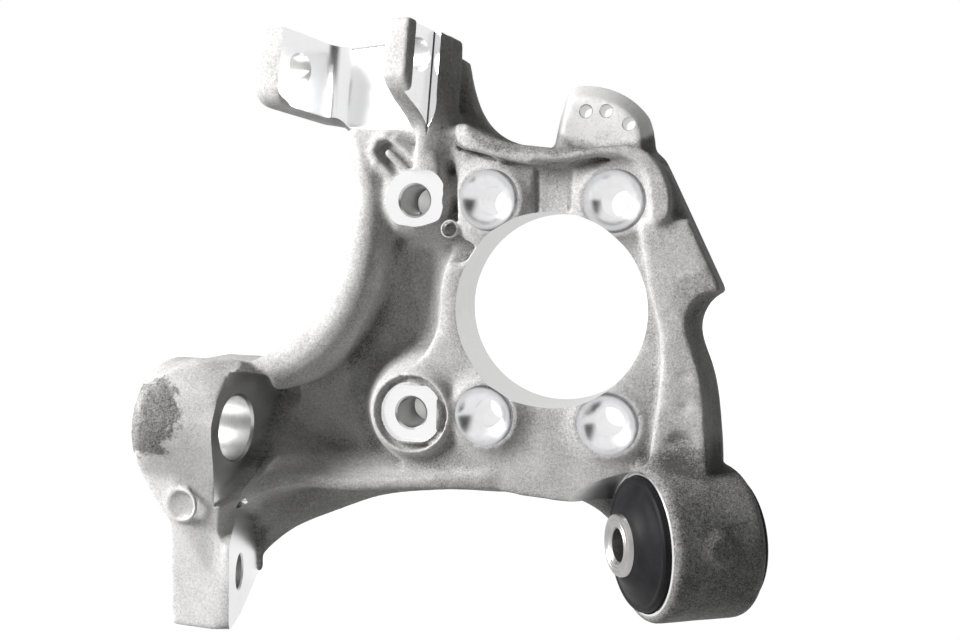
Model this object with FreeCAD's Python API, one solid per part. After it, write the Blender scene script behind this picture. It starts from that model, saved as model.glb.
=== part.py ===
import FreeCAD, Part
import math
import os

# Cast aluminium steering knuckle with a pressed-in rubber bush.
# Frame: X to the right of the inboard view, Y outboard, Z up.
# Origin: centre of the hub bore at the machined outboard flange face.

V = FreeCAD.Vector

# Hub bore and the four bearing bolts
hub_bore_dia = 90.0
hub_flange_radius = 66.0
hub_ring_front_radius = 54.0
bolt_spacing_x = 57.8
bolt_spacing_z = 99.6
bolt_hole_dia = 13.5
seat_y = -35.0
seat_dia = 28.4
seat_depth = 8.0
seat_pad_dia = 32.0

# Levels of the casting along Y, inboard is negative
back_y = -4.0
web_y = -14.0
plate_y = -32.0
panel_y = -28.0
pocket_y = -22.0
rim_y = -41.0
arm_y = -42.0
arm_top_y = -38.0
arm_foot_y = -18.0
arm_span = (44.0, -72.0)
corner_y = -31.0
cast_round = 3.0
rail_sides = 6
drill_back = 10.0
drill_front = -90.0

# Caliper bosses
caliper_x = -65.0
caliper_z_upper = 49.4
caliper_z_lower = -50.9
caliper_face_y = -35.0
caliper_hole_dia = 14.6
caliper_hole_depth = 25.0
caliper_face_radius = 14.5
caliper_collar_radius = 20.0
collar_y = -36.5

# Upper clevis: local x runs along its bolt, local -y out of its mouth
clevis_at = V(-132.0, -20.0, 115.0)
clevis_turn = -19.14
clevis_tilt = -5.7
clevis_gap = 66.0
clevis_left_width = 19.5
clevis_right_width = 14.0
clevis_ear_machined = 10.0
clevis_reach = 14.0
clevis_floor = 28.0
clevis_back_wall = 13.0
clevis_top = 17.2
clevis_hole_dia = 15.0
clevis_slot_radius = 11.0
clevis_spot_front = 8.5
clevis_spot_back = 9.5

# Lower left lug and the bolt ear under it
lug_face_x = -146.3
lug_left_x = -185.0
lug_y = -55.0
lug_z = -60.6
lug_radius = 32.5
lug_hole_dia = 30.8
lug_neck_y = -81.0
ear_face_at = V(-144.5, -55.0, -130.7)
ear_face_turn = 17.33
ear_left_x = -169.0
ear_front_y = -77.0
ear_bottom_z = -152.5
ear_hole_dia = 16.4

# Lower right bush housing and its bush
bush_at = V(46.6, -43.6, -100.5)
bush_turn = 32.34
housing_radius = 34.2
housing_length = 43.0
bush_outer_dia = 62.0
bush_sleeve_wall = 1.6
bush_inner_dia = 27.4
bush_bore_dia = 14.4
bush_overhang = 12.0
rubber_lip = 1.5
rubber_reach = 9.5

# Shallow marks of the mould
strip_depth = 1.6
pin_hole_radius = 2.2
pin_at = (-48.0, 36.4)
lug_hollow = (-158.5, -91.0, 7.5, 1.8)
arm_hollows = [(62.5, -28.0, 5.0, 1.6), (63.5, -41.3, 5.0, 1.6), (62.9, -57.5, 8.5, 2.0)]
housing_pad_radius = 6.0
housing_pad_height = 1.5
housing_pad_rise = 0.16

# Bracket tab over the hub
tab_base_y = -6.0
tab_front_y = -19.0
tab_hole_dia = 5.8
tab_holes = [(12.0, 91.5), (21.5, 91.5), (32.0, 85.5)]


def point(x, z, y):
    return V(x, y, z)


def outline(runs, y):
    """Closed face in the plane at y: two points make a straight run, more make a curve."""
    edges = []
    for run in runs:
        ends = [point(x, z, y) for x, z in run]
        if len(ends) == 2:
            edges.append(Part.LineSegment(ends[0], ends[1]).toShape())
        else:
            curve = Part.BSplineCurve()
            curve.interpolate(ends)
            edges.append(curve.toShape())
    return Part.Face(Part.Wire(edges))


def slab(runs, y_back, y_front):
    return outline(runs, y_back).extrude(V(0, y_front - y_back, 0))


def cylinder_y(x, z, radius, y_back, y_front):
    return Part.makeCylinder(radius, y_back - y_front, V(x, y_front, z), V(0, 1, 0))


def revolved(profile):
    """Turned piece about local x from a list of (x, radius) corners."""
    corners = [V(x, r, 0) for x, r in profile]
    face = Part.Face(Part.makePolygon(corners + corners[:1]))
    return face.revolve(V(0, 0, 0), V(1, 0, 0), 360)


def eased_bar(length, radius, ease):
    """Round bar along local x with both end edges eased in two steps."""
    step = 0.3 * ease
    front = [(0.0, radius - ease), (step, radius - step), (ease, radius)]
    back = [(length - x, r) for x, r in reversed(front)]
    return revolved([(0.0, 0.0)] + front + back + [(length, 0.0)])


def dimple(x, z, radius, depth, y):
    """Shallow round hollow with a sloping wall."""
    foot = radius - depth
    return Part.makeCone(radius, foot, depth, V(x, y, z), V(0, 1, 0))


def edges_at_y(solid, y):
    return [e for e in solid.Edges if all(abs(v.Y - y) < 0.01 for v in e.Vertexes)]


def fuse(solids):
    return solids[0].multiFuse(solids[1:])


def hub_ring():
    flange = cylinder_y(0, 0, hub_flange_radius, 0.0, -10.0)
    neck = Part.makeCone(hub_ring_front_radius + 6.0, hub_ring_front_radius,
                         -plate_y - 6.0, V(0, -6.0, 0), V(0, -1, 0))
    return fuse([flange, neck])


def bolt_places():
    half_x = bolt_spacing_x / 2
    half_z = bolt_spacing_z / 2
    return [(sx * half_x, sz * half_z) for sx in (-1, 1) for sz in (-1, 1)]


def web():
    """Outer body of the casting at its parting line."""
    runs = [
        [(-112, 92), (-104, 81), (-98.5, 66), (-97, 48), (-99.5, 27), (-107, 7),
         (-123, -14), (-138, -25.5), (-152, -31.5)],
        [(-152, -31.5), (-176, -35)],
        [(-176, -35), (-176, -131)],
        [(-176, -131), (-157, -136)],
        [(-157, -136), (-151, -130), (-138, -120), (-113, -108), (-90, -98.5), (-62, -93), (-34, -90),
         (-8, -89.5), (12, -91), (28, -100)],
        [(28, -100), (60, -100)],
        [(60, -100), (79, -72)],
        [(79, -72), (77.5, -56), (74, -38), (70, -20), (67, -7), (68, 0), (77, 10.5)],
        [(77, 10.5), (50, 66)],
        [(50, 66), (46, 72), (28, 75), (-4, 75), (-16, 76.5), (-29, 81), (-38, 89), (-44, 101),
         (-48, 118)],
        [(-48, 118), (-112, 118)],
        [(-112, 118), (-112, 92)],
    ]
    return slab(runs, back_y, web_y)


def rail_section(outer, inner, crest, back):
    """Rounded flange section between an outer and an inner point."""
    ox, oz = outer
    ix, iz = inner
    half = math.hypot(ix - ox, iz - oz) / 2
    corners = [point(ox, oz, back)]
    for step in range(rail_sides + 1):
        angle = math.pi * step / rail_sides
        across = (1 - math.cos(angle)) / 2
        corners.append(point(ox + (ix - ox) * across, oz + (iz - oz) * across,
                             crest + half * (1 - math.sin(angle))))
    corners.append(point(ix, iz, back))
    return Part.makePolygon(corners + corners[:1])


def outer_rail():
    """Rounded rim that sweeps from the clevis down to the lower lug."""
    stations = [
        ((-112, 96), (-96, 92), -20),
        ((-104, 81), (-91, 77), -29),
        ((-98, 63), (-85, 62), -34),
        ((-96.5, 45), (-82, 44), -37),
        ((-100, 25), (-82, 21), -39),
        ((-108, 5), (-88, -3), -40),
        ((-122, -13), (-105, -28), -41),
        ((-138, -25), (-126, -42), -46),
        ((-152, -32), (-147, -44), -52),
        ((-168, -36), (-165, -48), -55),
    ]
    sections = [rail_section(o, i, c, back_y) for o, i, c in stations]
    return Part.makeLoft(sections, True, False)


def strut_section(x, points):
    corners = [V(x, y, z) for y, z in points]
    return Part.makePolygon(corners + corners[:1])


def lower_strut():
    """Wedge shaped rib that carries the lower lug and runs out into the hub plate."""
    stations = [
        (-158, [(-3, -48), (-26, -66), (-68, -88), (-70, -98), (-36, -108), (-5, -128)]),
        (-144, [(-3, -48), (-24, -68), (-64, -88), (-66, -97), (-32, -106), (-5, -124)]),
        (-126, [(-5, -63), (-23, -74), (-49, -83), (-50, -89), (-23, -96), (-5, -112)]),
        (-104, [(-5, -70), (-22, -77), (-44, -84), (-44, -89), (-20, -94), (-5, -101)]),
        (-78, [(-5, -71), (-22, -77), (-41, -83), (-41, -88), (-20, -91), (-5, -95)]),
        (-48, [(-5, -68), (-21, -74), (-37, -80), (-37, -86), (-20, -89), (-5, -91)]),
        (-15, [(-5, -62), (-19, -68), (-30, -76), (-30, -83), (-19, -88), (-5, -89)]),
    ]
    sections = [strut_section(x, p) for x, p in stations]
    return Part.makeLoft(sections, True, False)


def hub_plate():
    """Thick plate round the bolt seats and the lower caliper boss."""
    runs = [
        [(-47, 74), (-24, 69), (-5, 66), (13, 66), (31, 70), (46, 68)],
        [(46, 68), (58, 20)],
        [(58, 20), (62, -66)],
        [(62, -66), (44, -86)],
        [(44, -86), (12, -88), (-20, -86), (-50, -80), (-66, -77)],
        [(-66, -77), (-80, -68), (-86, -52), (-80, -37), (-66, -29), (-57, -14), (-54, 2),
         (-52, 18), (-40, 30), (-41, 46), (-46, 58), (-47, 74)],
    ]
    return slab(runs, -2.0, plate_y)


def upper_panel():
    """Raised panel between the outer rail, the clevis and the upper caliper boss."""
    runs = [
        [(-102, 86), (-60, 86)],
        [(-60, 86), (-54, 60), (-46, 42), (-52, 30)],
        [(-52, 30), (-66, 31), (-78, 34), (-88, 40)],
        [(-88, 40), (-91, 62), (-102, 86)],
    ]
    return slab(runs, back_y, panel_y)


def top_rim():
    runs = [
        [(-50, 86), (-45, 86)],
        [(-45, 86), (-38, 83.5), (-29, 79), (-16, 75), (-4, 73.6), (12, 72.4), (28, 73.8), (42, 71.6),
         (50.5, 63), (54.3, 52), (53.5, 43), (49, 40), (45.6, 43)],
        [(45.6, 43), (44.7, 52.5), (43.2, 59.9), (40, 65.1), (35.5, 68.1), (28.8, 69.5), (13.2, 67.8),
         (-5, 65.6), (-23.7, 68.9), (-46, 74)],
        [(-46, 74), (-50, 86)],
    ]
    return slab(runs, back_y, rim_y)


def upper_right_slab():
    """Corner beside the hub with its straight milled edge."""
    runs = [
        [(44, 68), (50.5, 65.5)],
        [(50.5, 65.5), (77.5, 10.5)],
        [(77.5, 10.5), (71, 7), (67, 0)],
        [(67, 0), (50, 0)],
        [(50, 0), (44, 68)],
    ]
    return slab(runs, back_y, corner_y)


def arm_front(z):
    """Level of the arm's leaning front face."""
    top, low = arm_span
    return arm_top_y + (arm_y - arm_top_y) * (top - z) / (top - low)


def right_arm():
    """Arm down to the bush; its flat front runs on over the corner to the milled edge."""
    front = [
        [(43, 40.5), (42.5, 37), (43.5, 28.5), (45, 20), (47.5, 8), (50.5, -3), (52.5, -14),
         (53, -28), (51.5, -45), (49, -70)],
        [(49, -70), (73, -70)],
        [(73, -70), (71, -44), (66, -18), (61, -2), (62.5, 5), (77.5, 10.5)],
        [(77.5, 10.5), (62, 42)],
        [(62, 42), (43, 40.5)],
    ]
    back = [
        [(38.5, 42), (38.5, 38), (40.5, 28.5), (42, 20), (45, 8), (48.5, -3), (50, -14),
         (49.5, -28), (48, -45), (46, -70)],
        [(46, -70), (79, -70)],
        [(79, -70), (77, -46), (72, -22), (67, -6), (69, 3), (77.5, 10.5)],
        [(77.5, 10.5), (61.5, 43)],
        [(61.5, 43), (38.5, 42)],
    ]
    rear = outline(back, arm_foot_y).OuterWire
    face = outline(front, arm_y - 4.0).OuterWire
    foot = slab(back, back_y, arm_foot_y)
    arm = fuse([foot, Part.makeLoft([rear, face], True, True)])
    top, low = arm_span
    ahead = arm_y - 8.0
    lean = [V(0, ahead, top), V(0, arm_front(top), top), V(0, arm_front(low), low), V(0, ahead, low)]
    plane = Part.Face(Part.makePolygon(lean + lean[:1])).extrude(V(100, 0, 0))
    return arm.cut(plane)


def column():
    """Post from the clevis down to the upper caliper boss."""
    block = Part.makeBox(14.0, 32.0, 40.0, V(-65.0, -39.0, 56.0))
    return block.makeFillet(4.0, edges_at_y(block, -39.0))


def caliper_face(z, clearance):
    """Round machined face with flats to the right, above and below."""
    radius = caliper_face_radius + clearance
    flat = caliper_face_radius - 1.0 + clearance
    disc = cylinder_y(caliper_x, z, radius + 2.0, 0.0, caliper_face_y)
    half = radius + 2.0
    box = Part.makeBox(half + flat, -caliper_face_y, 2 * flat,
                       V(caliper_x - half, caliper_face_y, z - flat))
    core = cylinder_y(caliper_x, z, radius, 0.0, caliper_face_y)
    corner = disc.common(box)
    right = Part.makeBox(half, -caliper_face_y, 2 * half, V(caliper_x, caliper_face_y, z - half))
    return fuse([core, corner.common(right)]).common(box)


def caliper_bosses():
    upper = cylinder_y(caliper_x, caliper_z_upper, caliper_face_radius + 3.0, back_y, -32.0)
    lower = eased_bar(2 * -collar_y, caliper_collar_radius, cast_round)
    lower.rotate(V(0, 0, 0), V(0, 0, 1), 90)
    lower.translate(V(caliper_x, collar_y, caliper_z_lower))
    beyond = cylinder_y(caliper_x, caliper_z_lower, 2 * caliper_collar_radius, 60.0, back_y)
    lower = lower.cut(beyond)
    return fuse([upper, caliper_face(caliper_z_upper, 0.0), lower])


def blind_hole(z):
    """Caliper bolt hole with the cone of its drill at the bottom."""
    radius = caliper_hole_dia / 2
    bottom = caliper_face_y + caliper_hole_depth
    hole = cylinder_y(caliper_x, z, radius, bottom, drill_front)
    cone = Part.makeCone(radius, 0.0, radius / 2, V(caliper_x, bottom, z), V(0, 1, 0))
    return fuse([hole, cone])


def stadium(start, end, radius, y_back, y_front):
    """Slot shaped slab between two centres."""
    along = V(end[0] - start[0], 0, end[1] - start[1])
    bar = Part.makeBox(along.Length, y_back - y_front, 2 * radius, V(0, y_front, -radius))
    bar.rotate(V(0, 0, 0), V(0, 1, 0), -math.degrees(math.atan2(along.z, along.x)))
    bar.translate(V(start[0], 0, start[1]))
    ends = [cylinder_y(x, z, radius, y_back, y_front) for x, z in (start, end)]
    return fuse([bar] + ends)


def hairpin_rib():
    """Hairpin shaped rib with a short bar inside, beside the upper caliper boss."""
    start, end = (-80.0, 74.0), (-68.0, 59.0)
    height = panel_y - 3.5
    loop = stadium(start, end, 9.2, back_y, height)
    loop = loop.cut(stadium(start, end, 5.4, back_y, 2 * height))
    bar = stadium((-78.5, 74.0), end, 2.0, back_y, height + 0.5)
    return fuse([loop, bar])


def boss_pocket():
    """Deep relief between the upper caliper boss and the first bolt seat."""
    runs = [
        [(-51, 88), (-51, 62), (-49.5, 48), (-53, 37), (-57, 29)],
        [(-57, 29), (-50, 22.5), (-42, 21), (-36.5, 25), (-36.5, 32), (-40.5, 42), (-45, 54),
         (-46, 70), (-48, 88)],
        [(-48, 88), (-51, 88)],
    ]
    return slab(runs, pocket_y, -70.0)


def tab():
    base = [
        [(-5, 70), (-2, 90), (0.5, 99)],
        [(0.5, 99), (4, 104), (9, 105)],
        [(9, 105), (24, 102), (34, 96), (40, 89.5)],
        [(40, 89.5), (42, 84), (42.5, 68)],
        [(42.5, 68), (-5, 70)],
    ]
    front = [
        [(-1.5, 70), (1, 86), (2.5, 93)],
        [(2.5, 93), (5, 97), (9, 98)],
        [(9, 98), (21, 96), (29, 92), (35, 86.5)],
        [(35, 86.5), (37, 82), (37.5, 69)],
        [(37.5, 69), (-1.5, 70)],
    ]
    rear = outline(base, -9.0).OuterWire
    face = outline(front, tab_front_y).OuterWire
    foot = slab(base, tab_base_y, -9.0)
    return fuse([foot, Part.makeLoft([rear, face], True, True)])


def clevis_place():
    turn = FreeCAD.Rotation(V(0, 0, 1), clevis_turn)
    tilt = FreeCAD.Rotation(V(1, 0, 0), clevis_tilt)
    return FreeCAD.Placement(clevis_at, turn.multiply(tilt))


def clevis_box(s0, s1, t0, t1, w0, w1):
    """Box by its reach along the bolt s, out of the mouth t and up w."""
    return Part.makeBox(s1 - s0, t1 - t0, w1 - w0, V(s0, -t1, w0))


def edges_where(solid, test):
    """Straight edges whose two ends both pass the test."""
    return [e for e in solid.Edges
            if len(e.Vertexes) == 2 and all(test(v.Point) for v in e.Vertexes)]


def clevis_back():
    """Wall behind the milled floor, drafted away on its right side."""
    right = clevis_gap + clevis_right_width
    draft = 15.0
    profile = [(-clevis_left_width, clevis_top), (-clevis_left_width, -13), (-12, -20), (4, -23),
               (14, -30), (right, -38), (right, 0), (right - 2, 8), (right - 8, 12.5),
               (clevis_gap - 10, clevis_top - 1.5), (clevis_gap - 25, clevis_top)]
    wires = []
    for depth, inset in ((clevis_floor - 1.0, 0.0), (clevis_floor + clevis_back_wall, draft)):
        corners = [V(s - inset if s > clevis_gap else s, depth, w) for s, w in profile]
        wires.append(Part.makePolygon(corners + corners[:1]))
    return Part.makeLoft(wires, True, True)


def clevis_left_ear():
    reach = clevis_reach
    ear = clevis_box(-clevis_left_width, 0.5, -clevis_floor - 8.0, reach, -20.5, clevis_top)
    end_low = edges_where(ear, lambda p: abs(p.y + reach) < 0.01 and p.z < 0)
    ear = ear.makeFillet(9.0, end_low)
    side_low = edges_where(ear, lambda p: p.x < -clevis_left_width + 0.01 and p.z < -20.4)
    return ear.makeFillet(7.0, side_low)


def clevis_right_ear():
    low = clevis_top - 4.0
    profile = [(-clevis_reach, low), (-clevis_reach, -13), (-10.5, -17.5), (9.5, -31.5),
               (clevis_floor, -36), (clevis_floor, low)]
    corners = [V(clevis_gap - 0.5, y, w) for y, w in profile]
    ear = Part.Face(Part.makePolygon(corners + corners[:1]))
    ear = ear.extrude(V(clevis_right_width + 0.5, 0, 0))
    right = clevis_gap + clevis_right_width
    top_edge = edges_where(ear, lambda p: abs(p.x - right) < 0.01 and abs(p.z - low) < 0.01)
    return ear.makeFillet(7.0, top_edge)


def clevis_block():
    return fuse([clevis_back(), clevis_left_ear(), clevis_right_ear()])


def clevis_slot():
    """Milled mouth of the clevis with rounded floor corners."""
    slot = clevis_box(0.0, clevis_gap, -clevis_floor, 60.0, -30.0, 40.0)
    corners = [e for e in slot.Edges
               if all(abs(v.Y - clevis_floor) < 0.01 for v in e.Vertexes)
               and abs(e.Vertexes[0].X - e.Vertexes[-1].X) < 0.01]
    slot = slot.makeFillet(clevis_slot_radius, corners)
    right = clevis_gap + clevis_right_width
    spot = clevis_box(clevis_gap + clevis_ear_machined, right + 20.0,
                      -clevis_spot_back, clevis_spot_front, -34.0, 40.0)
    hole = Part.makeCylinder(clevis_hole_dia / 2, right + 60.0,
                             V(-clevis_left_width - 20.0, 0, 0), V(1, 0, 0))
    return fuse([slot, spot, hole])


def lower_lug():
    length = lug_face_x - lug_left_x + 4.0
    barrel = eased_bar(length, lug_radius, 5.0)
    barrel.translate(V(lug_left_x, lug_y, lug_z))
    profile = [(lug_left_x + 1, lug_z), (lug_left_x + 2, -78), (lug_left_x + 7, -88),
               (ear_left_x, -100),
               (lug_face_x + 3, -101), (lug_face_x + 3, lug_z)]
    corners = [V(x, -20.0, z) for x, z in profile]
    neck = Part.Face(Part.makePolygon(corners + corners[:1])).extrude(V(0, lug_neck_y + 20.0, 0))
    foot = Part.makeBox(lug_face_x - lug_left_x - 4.0, -lug_y - 4.0, 2 * lug_radius - 6.0,
                        V(lug_left_x + 4.0, lug_y, lug_z - lug_radius + 3.0))
    return fuse([barrel, neck, foot])


def ear_place():
    return FreeCAD.Placement(ear_face_at, FreeCAD.Rotation(V(0, 0, 1), ear_face_turn))


def bolt_ear():
    top = lug_z
    side = [
        V(ear_left_x, ear_front_y, top),
        V(ear_left_x, ear_front_y, ear_bottom_z + 8.0),
        V(ear_left_x, ear_front_y + 8.0, ear_bottom_z),
        V(ear_left_x, -62.0, ear_bottom_z),
        V(ear_left_x, -6.0, -144.0),
        V(ear_left_x, -4.0, -110.0),
        V(ear_left_x, -4.0, top),
    ]
    block = Part.Face(Part.makePolygon(side + side[:1]))
    block = block.extrude(V(lug_face_x + 3.0 - ear_left_x, 0, 0))
    beyond = Part.makeBox(60.0, 200.0, 200.0, V(0, -100.0, -100.0))
    beyond.Placement = ear_place()
    return block.cut(beyond)


def lug_cuts():
    """Milled lug face, milled ear face and the two bolt holes."""
    sweep = [
        V(lug_face_x, -3.0, -43.0),
        V(lug_face_x, -8.0, -51.0),
        V(lug_face_x, -22.0, -67.0),
        V(lug_face_x, -42.0, -81.0),
        V(lug_face_x, -66.0, -92.0),
    ]
    curve = Part.BSplineCurve()
    curve.interpolate(sweep)
    rest = [sweep[-1], V(lug_face_x, -95.0, -96.0), V(lug_face_x, -95.0, -33.0),
            V(lug_face_x, -52.0, -34.0), sweep[0]]
    edges = [curve.toShape()] + [Part.LineSegment(a, b).toShape() for a, b in zip(rest, rest[1:])]
    face_cut = Part.Face(Part.Wire(edges)).extrude(V(12.0, 0, 0))
    bore = Part.makeCylinder(lug_hole_dia / 2, 80.0, V(lug_left_x - 10.0, lug_y, lug_z),
                             V(1, 0, 0))
    mill_edge = [(0, 31), (24, 22), (39, 10), (44, 3), (50, -14), (64, -20), (64, -60), (-60, -60),
                 (-60, 31)]
    corners = [V(0, y, z) for y, z in mill_edge]
    mill = Part.Face(Part.makePolygon(corners + corners[:1])).extrude(V(60, 0, 0))
    hole = Part.makeCylinder(ear_hole_dia / 2, 80.0, V(-60.0, 0, 0), V(1, 0, 0))
    mill.Placement = ear_place()
    hole.Placement = ear_place()
    return face_cut, bore, mill, hole


def bush_place():
    return FreeCAD.Placement(bush_at, FreeCAD.Rotation(V(0, 0, 1), bush_turn))


def bush_housing():
    shell = eased_bar(housing_length, housing_radius, cast_round)
    pad_at = V(housing_length / 2 - 1.0, 0, 0)
    pad = Part.makeCylinder(housing_pad_radius, housing_radius + housing_pad_height, pad_at,
                            V(0, -1, housing_pad_rise))
    shell = shell.fuse(pad)
    shell.Placement = bush_place()
    return shell


def housing_notch():
    """Square notch in the lower front edge of the housing."""
    notch = Part.makeBox(10.0, 14.0, 6.0, V(housing_length / 2 - 5.0, -16.0, -housing_radius - 3.5))
    notch.Placement = bush_place()
    return notch


def bush_bore():
    bore = Part.makeCylinder(bush_outer_dia / 2, housing_length + 40.0, V(-20.0, 0, 0),
                             V(1, 0, 0))
    bore.Placement = bush_place()
    return bore


def bush_outer_sleeve():
    outer = bush_outer_dia / 2
    inner = outer - bush_sleeve_wall
    sleeve = revolved([(1.0, inner), (1.0, outer), (housing_length - 1.0, outer),
                       (housing_length - 1.0, inner)])
    sleeve.Placement = bush_place()
    return sleeve


def bush_rubber():
    outer = bush_outer_dia / 2 - bush_sleeve_wall
    inner = bush_inner_dia / 2
    end = housing_length
    lip = [(-rubber_lip, outer), (-rubber_lip - 1.5, outer - 3.5), (-rubber_reach, inner)]
    profile = lip + [(end - x, r) for x, r in reversed(lip)]
    rubber = revolved(profile)
    rubber.Placement = bush_place()
    return rubber


def bush_inner_sleeve():
    outer = bush_inner_dia / 2
    bore = bush_bore_dia / 2
    rim = [(-bush_overhang, bore), (-bush_overhang, outer - 1.0), (1.0 - bush_overhang, outer)]
    profile = rim + [(housing_length - x, r) for x, r in reversed(rim)]
    sleeve = revolved(profile)
    sleeve.Placement = bush_place()
    return sleeve


def cast_details():
    """Shallow marks of the mould: the strip between the upper seats and round hollows."""
    strip = Part.makeBox(16.5, 20.0, 27.0, V(-7.5, plate_y + strip_depth - 20.0, 40.0))
    strip = strip.cut(cylinder_y(0, 0, 200.0, 60.0, plate_y + strip_depth))
    hollows = [dimple(x, z, r, d, arm_front(z)) for x, z, r, d in arm_hollows]
    hollows.append(dimple(*lug_hollow, lug_neck_y))
    hollows.append(cylinder_y(pin_at[0], pin_at[1], pin_hole_radius, panel_y, drill_front))
    return hollows + [strip]


def seat_cut(x, z):
    """Concave bolt seat: a ball cut down to the through hole."""
    rim = seat_dia / 2
    ball_radius = (rim ** 2 + seat_depth ** 2) / (2 * seat_depth)
    ball = Part.makeSphere(ball_radius, V(x, seat_y + seat_depth - ball_radius, z))
    hole = cylinder_y(x, z, bolt_hole_dia / 2, drill_back, drill_front)
    return fuse([ball, hole])


def knuckle():
    pads = [cylinder_y(x, z, seat_pad_dia / 2, -10.0, seat_y) for x, z in bolt_places()]
    clevis = clevis_block()
    clevis.Placement = clevis_place()
    body = fuse([web(), hub_ring(), hub_plate(), upper_panel(), outer_rail(), lower_strut(),
                 top_rim(), upper_right_slab(), right_arm(), column(), caliper_bosses(), tab(),
                 hairpin_rib(),
                 clevis, lower_lug(), bolt_ear(), bush_housing()] + pads)
    boss = cylinder_y(caliper_x, caliper_z_upper, caliper_face_radius + 1.5, 0.0, drill_front)
    body = body.cut(boss_pocket().cut(boss))
    cuts = [cylinder_y(0, 0, hub_bore_dia / 2, drill_back, drill_front), bush_bore()]
    cuts += [seat_cut(x, z) for x, z in bolt_places()]
    cuts += list(lug_cuts())
    slot = clevis_slot()
    slot.Placement = clevis_place()
    cuts.append(slot)
    cuts += [blind_hole(z) for z in (caliper_z_upper, caliper_z_lower)]
    face_clear = caliper_face(caliper_z_lower, 0.0)
    cuts.append(face_clear.translated(V(0, caliper_face_y, 0)))
    for x, z in tab_holes:
        cuts.append(cylinder_y(x, z, tab_hole_dia / 2, drill_back, drill_front))
    cuts += cast_details()
    cuts.append(housing_notch())
    return body.cut(cuts)


os.makedirs("parts", exist_ok=True)
pieces = {
    "knuckle": knuckle(),
    "bushing_outer_sleeve": bush_outer_sleeve(),
    "bushing_rubber": bush_rubber(),
    "bushing_inner_sleeve": bush_inner_sleeve(),
}
for name, piece in pieces.items():
    print(name, piece.isValid(), len(piece.Solids), round(piece.Volume))
    piece.exportStep(f"parts/{name}.step")
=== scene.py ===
import math

import bmesh
import bpy
import numpy as np
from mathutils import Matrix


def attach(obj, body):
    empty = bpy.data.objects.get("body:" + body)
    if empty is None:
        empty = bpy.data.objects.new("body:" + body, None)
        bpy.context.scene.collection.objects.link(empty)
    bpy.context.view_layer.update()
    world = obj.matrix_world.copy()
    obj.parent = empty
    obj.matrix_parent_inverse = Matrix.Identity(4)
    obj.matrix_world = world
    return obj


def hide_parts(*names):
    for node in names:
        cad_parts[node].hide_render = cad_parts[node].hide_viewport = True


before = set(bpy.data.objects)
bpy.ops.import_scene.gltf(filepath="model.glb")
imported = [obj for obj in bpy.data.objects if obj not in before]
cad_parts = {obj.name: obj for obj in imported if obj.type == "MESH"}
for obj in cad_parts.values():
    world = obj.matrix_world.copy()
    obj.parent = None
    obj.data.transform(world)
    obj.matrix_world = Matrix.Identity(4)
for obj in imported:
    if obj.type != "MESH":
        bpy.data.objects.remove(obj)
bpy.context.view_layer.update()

import openvdb
from mathutils import Matrix, Vector

# The casting: one piece of gravity cast aluminium alloy that carries hub, caliper, links and bush.
# Its skin keeps the mould's fillets and grain, so the solid's form is filled where tools have cut,
# rounded on a field of distances, meshed again, and only then cut by the tools.

# All in millimetres: grid spacing, how far from the skin distances are kept, the mould's fillets,
# the rounding of outer edges, and the corners of the field
STEP = 1.0
REACH = 9.0
FILLET = 2.0
EDGE_ROUND = 0.9
FIELD_LOW = (-194, -97, -162)
FIELD_HIGH = (110, 36, 143)


def mould_grid(points, triangles, quads=None):
    """Narrow band of distances round a closed mesh, in millimetres."""
    return openvdb.FloatGrid.createLevelSetFromPolygons(
        points, triangles=triangles, quads=quads,
        transform=openvdb.createLinearTransform(voxelSize=STEP), halfWidth=REACH)


def reskin(grid, offset):
    """The same band measured from the surface that lies offset away."""
    points, triangles, quads = grid.convertToPolygons(isovalue=offset)
    return mould_grid(points, triangles, quads)


def field_of(grid):
    """The distances of a grid as an array that covers the whole casting."""
    shape = [high - low for low, high in zip(FIELD_LOW, FIELD_HIGH)]
    field = np.empty(shape, np.float32)
    grid.copyToArray(field, ijk=FIELD_LOW)
    return field


def grid_of(field):
    """The grid of such an array."""
    grid = openvdb.FloatGrid(REACH)
    grid.transform = openvdb.createLinearTransform(voxelSize=STEP)
    grid.copyFromArray(field, ijk=FIELD_LOW)
    return grid


spans = [np.arange(low, high, dtype=np.float32) for low, high in zip(FIELD_LOW, FIELD_HIGH)]
AT_X, AT_Y, AT_Z = np.meshgrid(*spans, indexing="ij", sparse=True)


class Place:
    """A local frame in the casting, in millimetres: an origin and three directions."""

    def __init__(self, origin, turn=0.0, tilt=0.0):
        self.origin = Vector(origin)
        self.matrix = (Matrix.Rotation(math.radians(turn), 3, "Z")
                       @ Matrix.Rotation(math.radians(tilt), 3, "X"))

    def local(self):
        """Field coordinates seen from this frame."""
        away = [at - o for at, o in zip((AT_X, AT_Y, AT_Z), self.origin)]
        return [sum(part * d for part, d in zip(axis, away) if abs(part) > 1e-6)
                for axis in self.matrix.transposed()]

    def out(self, x, y, z):
        """A local point in the frame of the whole part."""
        return self.origin + self.matrix @ Vector((x, y, z))


ROW = Place((0, 0, 0))
CLEVIS = Place((-132.0, -20.0, 115.0), turn=-19.14, tilt=-5.7)
EAR = Place((-144.5, -55.0, -130.7), turn=17.33)
BUSH = Place((46.6, -43.6, -100.5), turn=32.34)
LUG = Place((-146.3, -55.0, -60.6))


def block(place, low, high):
    """Distances to a block between two local corners."""
    outside = 0
    inside = -REACH
    for at, a, b in zip(place.local(), low, high):
        beyond = np.abs(at - (a + b) / 2) - (b - a) / 2
        outside = outside + np.maximum(beyond, 0) ** 2
        inside = np.maximum(inside, beyond)
    return np.sqrt(outside) + np.minimum(inside, 0)


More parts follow.
